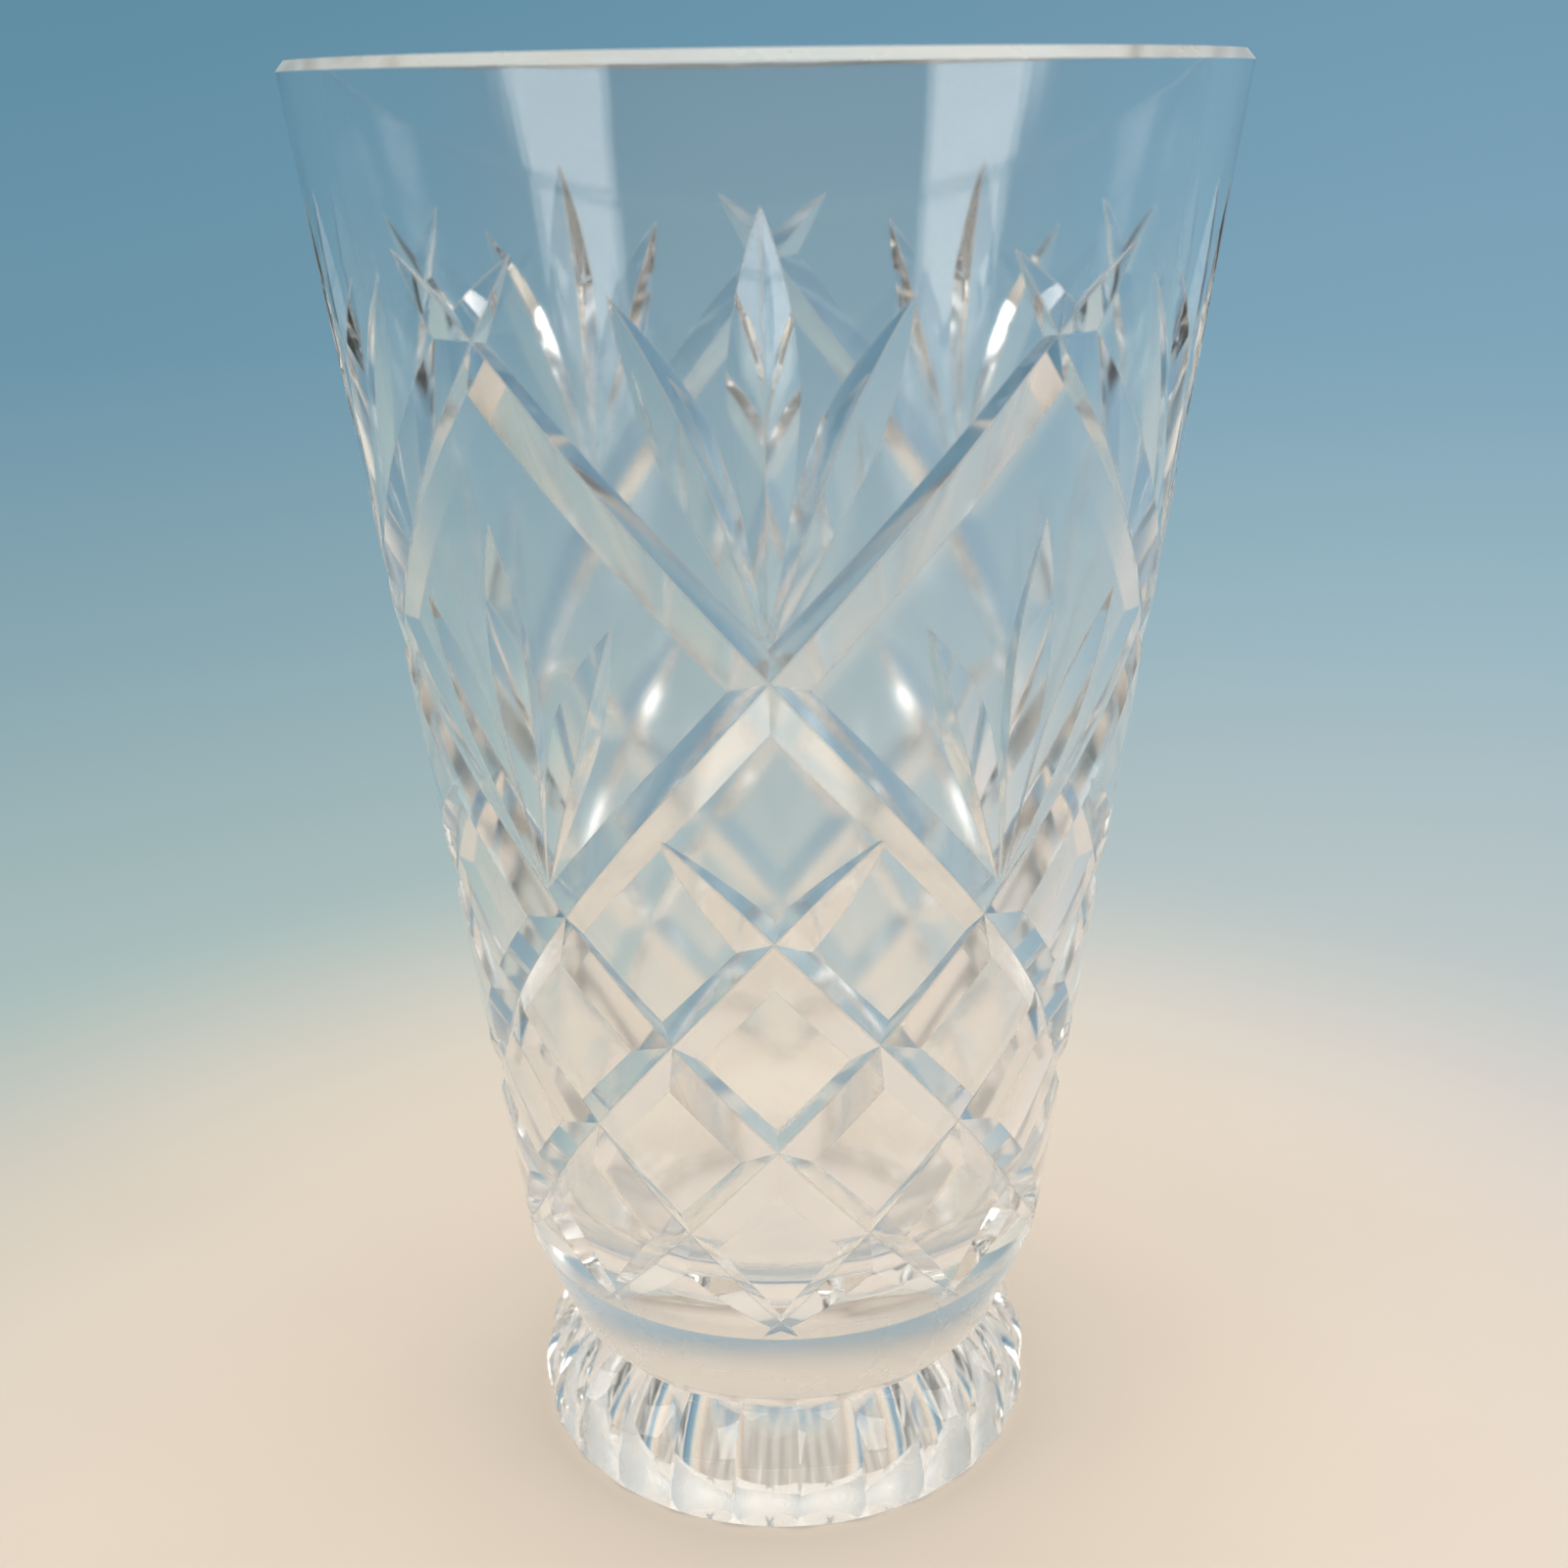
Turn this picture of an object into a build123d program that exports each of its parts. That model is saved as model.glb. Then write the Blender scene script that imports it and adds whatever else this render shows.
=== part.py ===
from build123d import *
import math
import os

# Cut crystal vase: a tapering bowl with a mitre-cut lattice and leaf fans, on a fluted foot.
# Millimetres, +Z up, origin at the centre of the resting face under the foot.
# phi is the angle round the vase in degrees, 0 at the front (-Y), positive towards +X.

# ---- bowl ----------------------------------------------------------------------------------
HEIGHT = 254.0            # table to rim
R_RIM = 77.4              # outside radius at the rim
R_SHOULDER = 50.45        # outside radius at the lower edge of the straight wall
Z_SHOULDER = 43.5         # height of that edge
R_WAIST = 43.4            # radius of the ring where bowl and foot are joined
Z_WAIST = 25.3            # height of that ring
RIM_CHAMFER = 1.6         # polished bevel round the outside of the rim
RIM_INNER = 0.5           # small bevel round the inside of the rim
WALL_RIM = 6.0            # wall thickness at the rim
WALL_LOW = 7.6            # wall thickness where the inside starts to round off
Z_ROUND = 61.0            # height where the inside starts to round off
Z_FLOOR = 40.5            # lowest point of the hollow
R_FLOOR = 20.0            # radius where the rounding meets the hollow's floor
FLOOR_DISH = 0.6          # rise of the floor from its centre to that radius
CORNER_FILLET = 1.2       # softened outer corner at the waist

# ---- mitre cuts ----------------------------------------------------------------------------
N_REP = 5                 # the cut pattern repeats five times round the bowl
STEP = 360.0 / N_REP
V_ANGLE = 118.0           # included angle of the mitre wheel
TAN_V = math.tan(math.radians(V_ANGLE / 2))
CUTTER_RISE = 1.6         # how far a cutter stands out of the wall

HELIX = 0.1430            # ln(radius) lost per radian along a lattice cut
CUT_DEPTH = 2.85          # full depth of a lattice cut
TIP_DEPTH = -0.15         # depth at its two ends, just clear of the wall
LIFT = 2.7                # how far a lattice cut flattens out towards its lower end
LATTICE_PITCH = 5.0       # approximate angle between stations
# wall radius at phi 0, start and end phi, angles over which the wheel enters and leaves
LONG_CUT = (66.3, -45.4, 112.0, 15.0, 24.0)
SHORT_CUT = (60.6, -17.5, 76.0, 19.0, 24.0)

LEAF_DEPTH = 3.15         # depth of the middle leaf of an upper fan
LOWER_LEAF_DEPTH = LEAF_DEPTH * 0.92
SIDE_LEAF_RATIO = 0.90    # depth of a side leaf against the middle one
LEAF_WIDEST = 0.60        # place of the widest point, as a fraction of the leaf's length
LEAF_BASE_POWER = 1.55    # fullness of the leaf below its widest point
LEAF_TIP_POWER = 1.75     # fullness above it
LEAF_OVERRUN = 0.03       # fraction of the length the cutter runs on past each end
LEAF_MIN_DEPTH = -0.35    # limit on how far the overrun lifts out of the wall
LEAF_SPANS = 10           # spans between the stations of a leaf
SIDE_BOW = -0.06          # sideways bow of a side leaf, as a fraction of its sweep
SIDE_OFFSET = 0.6         # angle from the middle leaf's base to a side leaf's base
SIDE_DROP = 0.5           # how far a side leaf's base lies below the middle one's
FAN_TILT = 16.3           # angle from the middle leaf's tip to a side leaf's tip

# ---- foot ----------------------------------------------------------------------------------
FOOT_MAX = 48.95          # largest radius of the foot
Z_FOOT_MAX = 5.0
R_FLANK = 47.75           # point of the curve between neck and largest radius
Z_FLANK = 12.0
FOOT_BASE = 48.4          # radius of the foot just above the table edge
FOOT_BEVEL = 0.8          # bevel round the table edge
R_NECK = 43.1             # narrowest radius above the flare, just under the waist
Z_NECK = 23.3             # height where the neck turns out into the foot
SEAM_TURN = 7.1           # turn of the seam left by revolving the foot
N_FLUTE = 25              # flutes round the foot
FLUTE_PITCH = 360.0 / N_FLUTE
FLUTE_R = 20.0            # radius of the rounded wheel that cuts a flute
FLUTE_IN = 47.55          # radius the wheel reaches on the upright part of the foot
FLUTE_BEND_Z = 6.0        # height where the wheel starts to follow the foot's rounded shoulder
FLUTE_BEND = 18.0         # radius of that bend
FLUTE_BEND_ANGLE = 56.0
FLUTE_BELOW = 3.0         # how far the wheel runs on below the table
FLUTE_PHASE = 3.5         # phi of one ridge between flutes
KICK_R = 31.0             # radius of the polished hollow under the foot
KICK_H = 2.2              # height of that hollow


def cut(body, cutter):
    """Cut, keeping the largest piece if the cut leaves loose slivers."""
    result = body.cut(cutter)
    if not isinstance(result, Solid):
        result = max(result.solids(), key=lambda solid: solid.volume)
    return result


# ---- outer wall of the bowl ----------------------------------------------------------------
SLOPE = (R_RIM - R_SHOULDER) / (HEIGHT - Z_SHOULDER)    # the wall's taper


def wall_r(z):
    return R_SHOULDER + SLOPE * (z - Z_SHOULDER)


def wall_z(radius):
    return Z_SHOULDER + (radius - R_SHOULDER) / SLOPE


def wall_point(phi, z):
    angle = math.radians(phi)
    radius = wall_r(z)
    return Vector(radius * math.sin(angle), -radius * math.cos(angle), z)


def wall_normal(phi):
    angle = math.radians(phi)
    lean = math.atan(SLOPE)
    outward = math.cos(lean)
    return Vector(outward * math.sin(angle), -outward * math.cos(angle), -math.sin(lean))


# ---- paths of the cuts: lists of stations (phi, z, depth) ----------------------------------
def lattice_path(radius, start, end, run_in, run_out):
    """One lattice cut on the spiral r = radius * exp(-HELIX phi)."""
    spans = round((end - start) / LATTICE_PITCH)
    path = []
    for i in range(spans + 1):
        phi = start + (end - start) * i / spans
        entering = max(0.0, 1 - (phi - start) / run_in) ** 2
        leaving = max(0.0, 1 - (end - phi) / run_out) ** 2
        depth = CUT_DEPTH - (CUT_DEPTH - TIP_DEPTH) * max(entering, leaving)
        z = wall_z(radius * math.exp(-HELIX * math.radians(phi))) + LIFT * leaving
        path.append((phi, z, depth))
    return path


def mirror_path(path):
    return [(-phi, z, depth) for phi, z, depth in path]


def leaf_path(base_phi, base_z, tip_phi, tip_z, depth, bow=0.0):
    """A cut that swells from its base and ends in a sharp tip."""
    path = []
    for i in range(LEAF_SPANS + 1):
        t = -LEAF_OVERRUN + (1 + 2 * LEAF_OVERRUN) * i / LEAF_SPANS
        phi = base_phi + (tip_phi - base_phi) * (t + bow * 4 * t * (1 - t))
        z = base_z + (tip_z - base_z) * t
        if t > LEAF_WIDEST:
            fall = abs((t - LEAF_WIDEST) / (1 - LEAF_WIDEST)) ** LEAF_TIP_POWER
        else:
            fall = abs((t - LEAF_WIDEST) / LEAF_WIDEST) ** LEAF_BASE_POWER
        path.append((phi, z, max(depth * (1 - fall), LEAF_MIN_DEPTH)))
    return path


def fan_paths(phi, base_z, length, side_rise, depth):
    """A middle leaf and the two that spread beside it."""
    paths = [leaf_path(phi, base_z, phi, base_z + length, depth)]
    for side in (-1, 1):
        paths.append(leaf_path(
            base_phi=phi + side * SIDE_OFFSET,
            base_z=base_z - SIDE_DROP,
            tip_phi=phi + side * FAN_TILT,
            tip_z=base_z + side_rise,
            depth=depth * SIDE_LEAF_RATIO,
            bow=SIDE_BOW,
        ))
    return paths


def mitre_cutter(path):
    """Triangles set across a path on the wall, lofted into one solid."""
    points = [wall_point(phi, z) for phi, z, depth in path]
    wires = []
    for i, (phi, z, depth) in enumerate(path):
        ahead = points[min(i + 1, len(points) - 1)]
        behind = points[max(i - 1, 0)]
        along = (ahead - behind).normalized()
        across = wall_normal(phi).cross(along).normalized()
        outward = along.cross(across).normalized()
        half_width = (CUTTER_RISE + depth) * TAN_V
        top = points[i] + outward * CUTTER_RISE
        corners = [
            points[i] - outward * depth,
            top + across * half_width,
            top - across * half_width,
        ]
        wires.append(Wire.make_polygon(corners, close=True))
    return Solid.make_loft(wires, ruled=False)


def bowl_cutters():
    """All mitre cutters in cutting order: long lattice, short lattice, upper fans, lower fans."""
    groups = []
    for values in (LONG_CUT, SHORT_CUT):
        path = lattice_path(*values)
        groups.append([mitre_cutter(path), mitre_cutter(mirror_path(path))])
    upper_fan = fan_paths(phi=0.0, base_z=175.0, length=60.4, side_rise=48.9, depth=LEAF_DEPTH)
    lower_fan = fan_paths(
        phi=STEP / 2, base_z=131.0, length=59.3, side_rise=45.4, depth=LOWER_LEAF_DEPTH
    )
    groups += [[mitre_cutter(path)] for path in upper_fan + lower_fan]
    return [
        cutter.rotate(Axis.Z, STEP * k)
        for group in groups
        for k in range(N_REP)
        for cutter in group
    ]


def make_bowl():
    inner_rim_r = R_RIM - WALL_RIM
    round_start = (wall_r(Z_ROUND) - WALL_LOW, Z_ROUND)
    floor_edge = (R_FLOOR, Z_FLOOR + FLOOR_DISH)
    floor_centre = (0.0, Z_FLOOR)
    bottom_centre = (0.0, Z_WAIST)
    floor_edge_dir = (-1.0, -0.05)
    with BuildSketch(Plane.XZ) as profile:
        with BuildLine():
            Polyline(
                bottom_centre,
                (R_WAIST, Z_WAIST),
                (R_SHOULDER, Z_SHOULDER),
                (wall_r(HEIGHT - RIM_CHAMFER), HEIGHT - RIM_CHAMFER),
                (R_RIM - RIM_CHAMFER, HEIGHT),
                (inner_rim_r + RIM_INNER, HEIGHT),
                (inner_rim_r, HEIGHT - RIM_INNER),
                round_start,
            )
            Spline(
                round_start,
                floor_edge,
                tangents=((-0.15, -1.0), floor_edge_dir),
                tangent_scalars=(1.0, 1.0),
            )
            Spline(floor_edge, floor_centre, tangents=(floor_edge_dir, (-1.0, 0.0)))
            Line(floor_centre, bottom_centre)
        make_face()
        # The vertices lie in the sketch's local XY plane, so the one nearest this point
        # is the waist corner.
        pick_point = (R_SHOULDER, 0, Z_SHOULDER)
        fillet(profile.vertices().sort_by_distance(pick_point)[0], CORNER_FILLET)
    bowl = revolve(profile.sketch, Axis.Z).solid()
    for cutter in bowl_cutters():
        bowl = cut(bowl, cutter)
    return bowl


def flute_wheel():
    """Path of the flute wheel on +X: straight up the side, then in over the shoulder."""
    start = Plane(origin=(FLUTE_IN + FLUTE_R, 0, FLUTE_BEND_Z), x_dir=(1, 0, 0), z_dir=(0, 0, 1))
    bend_axis = Axis((FLUTE_IN - FLUTE_BEND, 0, FLUTE_BEND_Z), (0, -1, 0))
    straight = extrude(start * Circle(FLUTE_R), -(FLUTE_BEND_Z + FLUTE_BELOW))
    bend = revolve(start * Circle(FLUTE_R), bend_axis, FLUTE_BEND_ANGLE)
    return (straight + bend).solid()


def make_foot():
    waist = (R_WAIST, Z_WAIST)
    neck = (R_NECK, Z_NECK)
    base = (FOOT_BASE, FOOT_BEVEL)
    table_edge = (FOOT_BASE - FOOT_BEVEL, 0.0)
    with BuildSketch(Plane.XZ) as profile:
        with BuildLine():
            Line(waist, neck)
            Spline(
                neck,
                (R_FLANK, Z_FLANK),
                (FOOT_MAX, Z_FOOT_MAX),
                base,
                tangents=((0.50, -0.85), (-0.22, -1.0)),
            )
            Line(base, table_edge)
            Line(table_edge, (0.0, 0.0))
            Line((0.0, 0.0), (0.0, Z_WAIST))
            Line((0.0, Z_WAIST), waist)
        make_face()
    foot = revolve(profile.sketch, Axis.Z).solid().rotate(Axis.Z, SEAM_TURN)

    # the polished hollow under the foot, a shallow part of a sphere
    ball_r = (KICK_R ** 2 + KICK_H ** 2) / (2 * KICK_H)
    foot = cut(foot, Solid.make_sphere(ball_r, Plane.XY.offset(KICK_H - ball_r)))

    wheel = flute_wheel()
    for k in range(N_FLUTE):
        # the wheel is built at phi 90, and each flute lies midway between two ridges
        turn = FLUTE_PHASE - 90 + FLUTE_PITCH * (k + 0.5)
        foot = cut(foot, wheel.rotate(Axis.Z, turn))
    return foot


os.makedirs("parts", exist_ok=True)
for name, make in (("bowl", make_bowl), ("foot", make_foot)):
    part = make()
    part.label = name
    export_step(part, f"parts/{name}.step")
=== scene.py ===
"""A cut lead-crystal vase on a sheet of paper that is swept up behind it.

The vase stands on z = 0 with its axis on Z. It is a conical bowl, widest at the rim, joined at the
waist to a fluted foot. Angles phi round the vase are degrees from -Y (the front) towards +X.
Vase lengths are millimetres until a mesh is made; materials and stage are in metres.
"""

import math

import bmesh
import bpy
import numpy as np
from mathutils import Matrix, Vector


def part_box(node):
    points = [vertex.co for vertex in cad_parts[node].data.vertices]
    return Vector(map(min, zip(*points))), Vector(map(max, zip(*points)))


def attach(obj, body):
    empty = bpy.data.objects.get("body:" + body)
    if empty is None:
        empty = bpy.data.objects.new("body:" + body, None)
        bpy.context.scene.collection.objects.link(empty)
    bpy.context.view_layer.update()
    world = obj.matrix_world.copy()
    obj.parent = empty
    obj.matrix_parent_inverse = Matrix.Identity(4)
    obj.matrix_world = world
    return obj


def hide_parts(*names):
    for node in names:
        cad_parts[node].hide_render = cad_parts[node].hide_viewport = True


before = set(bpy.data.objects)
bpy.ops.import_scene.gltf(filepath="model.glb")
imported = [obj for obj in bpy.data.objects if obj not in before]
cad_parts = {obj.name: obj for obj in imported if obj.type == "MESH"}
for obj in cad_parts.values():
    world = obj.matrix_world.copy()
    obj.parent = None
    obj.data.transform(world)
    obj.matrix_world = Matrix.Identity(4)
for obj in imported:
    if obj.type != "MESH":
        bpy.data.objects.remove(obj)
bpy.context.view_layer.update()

MM = 0.001
SEGMENTS = 600       # round the bowl and the foot

# ---- bowl, mm ----------------------------------------------------------------------------------
bowl_lo, bowl_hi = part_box("bowl")
HEIGHT = bowl_hi.z / MM
Z_WAIST = bowl_lo.z / MM
R_RIM = 77.4
R_SHOULDER, Z_SHOULDER = 50.45, 43.5
R_WAIST = 43.4
SHOULDER_FILLET = 1.2
RIM_CHAMFER, RIM_INNER_CHAMFER = 1.6, 0.5
WALL_RIM, WALL_LOW = 6.0, 7.6               # horizontal wall thickness at the rim and at Z_ROUND
Z_ROUND = 61.0                              # the inside starts to round in here
Z_FLOOR, R_FLOOR, FLOOR_DISH = 40.5, 20.0, 0.6
SLOPE = (R_RIM - R_SHOULDER) / (HEIGHT - Z_SHOULDER)

# ---- mitre cuts in the bowl, mm and degrees ------------------------------------------------------
N_REPEAT = 5
V_ANGLE = 118.0
TAN_V = math.tan(math.radians(V_ANGLE / 2))
CUTTER_RISE = 1.6                           # how far a cutter stands out of the wall
HELIX = 0.1430                              # a lattice cut's radius shrinks by this per radian
CUT_DEPTH, TIP_DEPTH = 2.85, -0.15
RUN_OUT, LIFT = 24.0, 2.7                   # the lower end of a cut: its length and its upward curl
# wall radius at phi 0, first phi, last phi, length of the upper run-in
LATTICE_CUTS = [(66.3, -45.4, 112.0, 15.0), (60.6, -17.5, 76.0, 19.0)]
LEAF_DEPTH, LEAF_WIDEST, LEAF_STEPS = 3.15, 0.60, 48
LEAF_OVERRUN, LEAF_MIN_DEPTH = 0.03, -0.35
FAN_TILT = 16.3
FAN_SIDE_PHI, FAN_SIDE_DROP = 0.6, 0.5      # where a side leaf starts, from the middle leaf
FAN_SIDE_DEPTH, FAN_SIDE_BOW = 0.90, -0.06
# phi, base z, length of the middle leaf, rise of the side leaves, depth
FANS = [(0.0, 175.0, 60.4, 48.9, LEAF_DEPTH),
        (180.0 / N_REPEAT, 131.0, 59.3, 45.4, LEAF_DEPTH * 0.92)]

# ---- foot, mm and degrees --------------------------------------------------------------------------
R_NECK, Z_NECK = 43.1, 23.3
FOOT_MID = (47.75, 12.0)                    # r, z on the side
FOOT_WIDEST = (48.95, 5.0)
R_FOOT_BASE, FOOT_BEVEL = 48.4, 0.8
KICK_R, KICK_H = 31.0, 2.2                  # the hollow under the foot
N_FLUTE, FLUTE_GROUPS, FLUTE_PHASE = 25, 5, 3.5
FLUTE_R = 20.0                              # the rounding across a flute
FLUTE_IN = 47.55                            # distance of a straight flute's floor from the axis
FLUTE_BEND_Z, FLUTE_BEND = 6.0, 18.0        # the flute bends inwards above this z, at this radius
FLUTE_HALF_ARC = 34                         # finely divided half of the cutter's section

# material slots, the same list on every mesh that takes part in a cut
M_WALL, M_JOIN, M_CUT, M_RIM, M_INNER, M_BASE = range(6)
NO_GROOVE = (9.0, 9.0, 0.0)


def wall_r(z):
    return R_SHOULDER + SLOPE * (z - Z_SHOULDER)


def wall_z(r):
    return Z_SHOULDER + (r - R_SHOULDER) / SLOPE


def unit(v):
    return v / np.maximum(np.linalg.norm(v, axis=-1, keepdims=True), 1e-12)


# ==================================================================================================
# Mesh building
# ==================================================================================================
class Builder:
    """Collects vertices and faces. Each face has a material index, and each of its corners has the
    exact surface normal and a groove value (mm from the valley, mm from the crest, 0)."""

    def __init__(self):
        self.verts, self.faces, self.normals = [], [], []
        self.materials, self.grooves = [], []
        self.count = 0

    def add(self, verts):
        base = self.count
        self.verts.append(np.asarray(verts, float))
        self.count += len(verts)
        return base

    def face(self, ids, normals, material, groove=None):
        self.faces.append(tuple(int(i) for i in ids))
        self.normals.extend(normals)
        self.materials.append(material)
        self.grooves.extend(groove if groove is not None else [NO_GROOVE] * len(ids))

    def mesh(self, name):
        mesh = bpy.data.meshes.new(name)
        coords = np.concatenate(self.verts) * MM
        mesh.from_pydata([tuple(c) for c in coords], [], self.faces)
        mesh.polygons.foreach_set("material_index", np.array(self.materials, np.int32))
        for attribute, values in (("exact_normal", self.normals), ("groove", self.grooves)):
            layer = mesh.attributes.new(attribute, "FLOAT_VECTOR", "CORNER")
            layer.data.foreach_set("vector", np.asarray(values, np.float32).ravel())
        mesh.update()
        return mesh


def make_object(builder, name, materials):
    """A closed object with its faces turned outwards."""
    mesh = builder.mesh(name)
    for material in materials:
        mesh.materials.append(material)
    bm = bmesh.new()
    bm.from_mesh(mesh)
    bmesh.ops.recalc_face_normals(bm, faces=bm.faces)
    if bm.calc_volume(signed=True) < 0:
        bmesh.ops.reverse_faces(bm, faces=bm.faces)
    bm.to_mesh(mesh)
    bm.free()
    ob = bpy.data.objects.new(name, mesh)
    bpy.context.scene.collection.objects.link(ob)
    return ob


def cut(target, cutter):
    """Takes the cutter out of the target and removes the cutter."""
    mod = target.modifiers.new("cut", "BOOLEAN")
    mod.operation = "DIFFERENCE"
    mod.solver = "MANIFOLD"
    mod.object = cutter
    depsgraph = bpy.context.evaluated_depsgraph_get()
    depsgraph.update()
    result = bpy.data.meshes.new_from_object(target.evaluated_get(depsgraph))
    target.modifiers.clear()
    whole = target.data
    target.data = result
    bpy.data.meshes.remove(whole)
    cutter_mesh = cutter.data
    bpy.data.objects.remove(cutter)
    bpy.data.meshes.remove(cutter_mesh)


def finish_mesh(ob):
    """Welds the cut mesh and gives every face corner the exact normal of the surface it lies on."""
    mesh = ob.data
    bm = bmesh.new()
    bm.from_mesh(mesh)
    bmesh.ops.remove_doubles(bm, verts=bm.verts, dist=2e-7)
    bmesh.ops.dissolve_degenerate(bm, dist=1e-7, edges=bm.edges)
    bm.to_mesh(mesh)
    bm.free()
    mesh.update()

    normals = np.zeros(len(mesh.loops) * 3, np.float32)
    mesh.attributes["exact_normal"].data.foreach_get("vector", normals)
    normals = normals.reshape(-1, 3).astype(float)
    size = np.linalg.norm(normals, axis=1)
    face_normals = np.zeros(len(mesh.polygons) * 3, np.float32)
    mesh.polygons.foreach_get("normal", face_normals)
    corners = np.zeros(len(mesh.polygons), np.int32)
    mesh.polygons.foreach_get("loop_total", corners)
    flat = face_normals.reshape(-1, 3)[np.repeat(np.arange(len(corners)), corners)]

    # a corner whose normal was lost or disagrees with its face takes the face's own
    normals = normals / np.maximum(size, 1e-9)[:, None]
    bad = (size < 0.5) | (np.sum(normals * flat, axis=1) < 0.9)
    normals[bad] = flat[bad]
    mesh.polygons.foreach_set("use_smooth", np.ones(len(mesh.polygons), bool))
    mesh.normals_split_custom_set([tuple(v) for v in normals])
    mesh.attributes.remove(mesh.attributes["exact_normal"])
    mesh.update()


# ==================================================================================================
# Turned profiles. A piece is (points [(r, z)], normals [(nr, nz)], material).
# ==================================================================================================
def revolve(pieces):
    """Turns a closed profile, running from axis to axis, about Z."""
    b = Builder()
    ang = np.arange(SEGMENTS) * 2 * math.pi / SEGMENTS
    sines, cosines = np.sin(ang), -np.cos(ang)
    rings = {}

    def ring(point):
        """First vertex of the ring through a point, and whether it is a pole."""
        r, z = point
        key = (round(r, 5), round(z, 5))
        if key not in rings:
            if r < 1e-6:
                rings[key] = (b.add([(0.0, 0.0, z)]), True)
            else:
                coords = np.stack([sines * r, cosines * r, np.full(SEGMENTS, z)], 1)
                rings[key] = (b.add(coords), False)
        return rings[key]

    def turned(normal, j):
        return (normal[0] * sines[j], normal[0] * cosines[j], normal[1])

    for points, normals, material in pieces:
        for i in range(len(points) - 1):
            (start, start_pole), (end, end_pole) = ring(points[i]), ring(points[i + 1])
            n0, n1 = normals[i], normals[i + 1]
            for j in range(SEGMENTS):
                k = (j + 1) % SEGMENTS
                if start_pole:
                    ids = [start, end + k, end + j]
                    corner = [(0, 0, math.copysign(1, n0[1])), turned(n1, k), turned(n1, j)]
                elif end_pole:
                    ids = [start + j, start + k, end]
                    corner = [turned(n0, j), turned(n0, k), (0, 0, math.copysign(1, n1[1]))]
                else:
                    ids = [start + j, start + k, end + k, end + j]
                    corner = [turned(n0, j), turned(n0, k), turned(n1, k), turned(n1, j)]
                b.face(ids, corner, material)
    return b


def line_piece(start, end, steps, material):
    way = np.array(end, float) - np.array(start, float)
    normal = np.array([way[1], -way[0]]) / np.linalg.norm(way)      # to the right of the way
    points = [tuple(np.array(start) + way * i / steps) for i in range(steps + 1)]
    return points, [tuple(normal)] * (steps + 1), material


def curve_piece(points, tangents, material):
    normals = []
    for tangent in tangents:
        tangent = np.array(tangent, float) / np.linalg.norm(tangent)
        normals.append((tangent[1], -tangent[0]))
    return [tuple(p) for p in points], normals, material


def share_ends(pieces):
    """Makes neighbouring pieces share their end points exactly."""
    for before, after in zip(pieces, pieces[1:]):
        after[0][0] = before[0][-1]
    return pieces


def hermite(start, end, start_pull, end_pull, steps):
    """Points and derivatives of a cubic between two points with given end derivatives."""
    p, q, u, v = (np.array(a, float) for a in (start, end, start_pull, end_pull))
    t = (np.arange(steps + 1) / steps)[:, None]
    points = ((2 * t**3 - 3 * t**2 + 1) * p + (t**3 - 2 * t**2 + t) * u
              + (-2 * t**3 + 3 * t**2) * q + (t**3 - t**2) * v)
    slopes = ((6 * t**2 - 6 * t) * p + (3 * t**2 - 4 * t + 1) * u
              + (-6 * t**2 + 6 * t) * q + (3 * t**2 - 2 * t) * v)
    return points, slopes


def clamped_spline(points, first_way, last_way, steps):
    """A smooth curve through points, with the given end directions: points and tangents."""
    p = np.array(points, float)
    span = np.linalg.norm(np.diff(p, axis=0), axis=1)
    k = len(p)
    matrix, known = np.zeros((k, k)), np.zeros((k, 2))
    matrix[0, 0] = matrix[-1, -1] = 1.0
    known[0], known[-1] = unit(np.array(first_way, float)), unit(np.array(last_way, float))
    for i in range(1, k - 1):
        a, b = span[i - 1], span[i]
        matrix[i, i - 1], matrix[i, i], matrix[i, i + 1] = 1 / a, 2 / a + 2 / b, 1 / b
        known[i] = 3 * ((p[i] - p[i - 1]) / a ** 2 + (p[i + 1] - p[i]) / b ** 2)
    slope = np.linalg.solve(matrix, known)
    curve, tangents = [], []
    for i in range(k - 1):
        pts, tans = hermite(p[i], p[i + 1], slope[i] * span[i], slope[i + 1] * span[i], steps)
        skip = 0 if i == 0 else 1
        curve.append(pts[skip:])
        tangents.append(tans[skip:])
    return np.concatenate(curve), np.concatenate(tangents)


def shoulder_fillet(waist, shoulder, top):
    """The arc that rounds the corner between the undercut and the wall: points and normals."""
    down = (waist - shoulder) / np.linalg.norm(waist - shoulder)
    upward = (top - shoulder) / np.linalg.norm(top - shoulder)
    half = math.acos(float(down @ upward)) / 2
    setback = SHOULDER_FILLET / math.tan(half)
    first, last = shoulder + down * setback, shoulder + upward * setback
    bisector = (down + upward) / np.linalg.norm(down + upward)
    centre = shoulder + bisector * SHOULDER_FILLET / math.sin(half)
    a0 = math.atan2(*(first - centre)[::-1])
    a1 = math.atan2(*(last - centre)[::-1])
    normals = []
    for i in range(5):
        a = a0 + (a1 - a0) * i / 4
        normals.append((math.cos(a), math.sin(a)))
    points = [tuple(centre + SHOULDER_FILLET * np.array(n)) for n in normals]
    points[0], points[-1] = tuple(first), tuple(last)
    return points, normals


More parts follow.
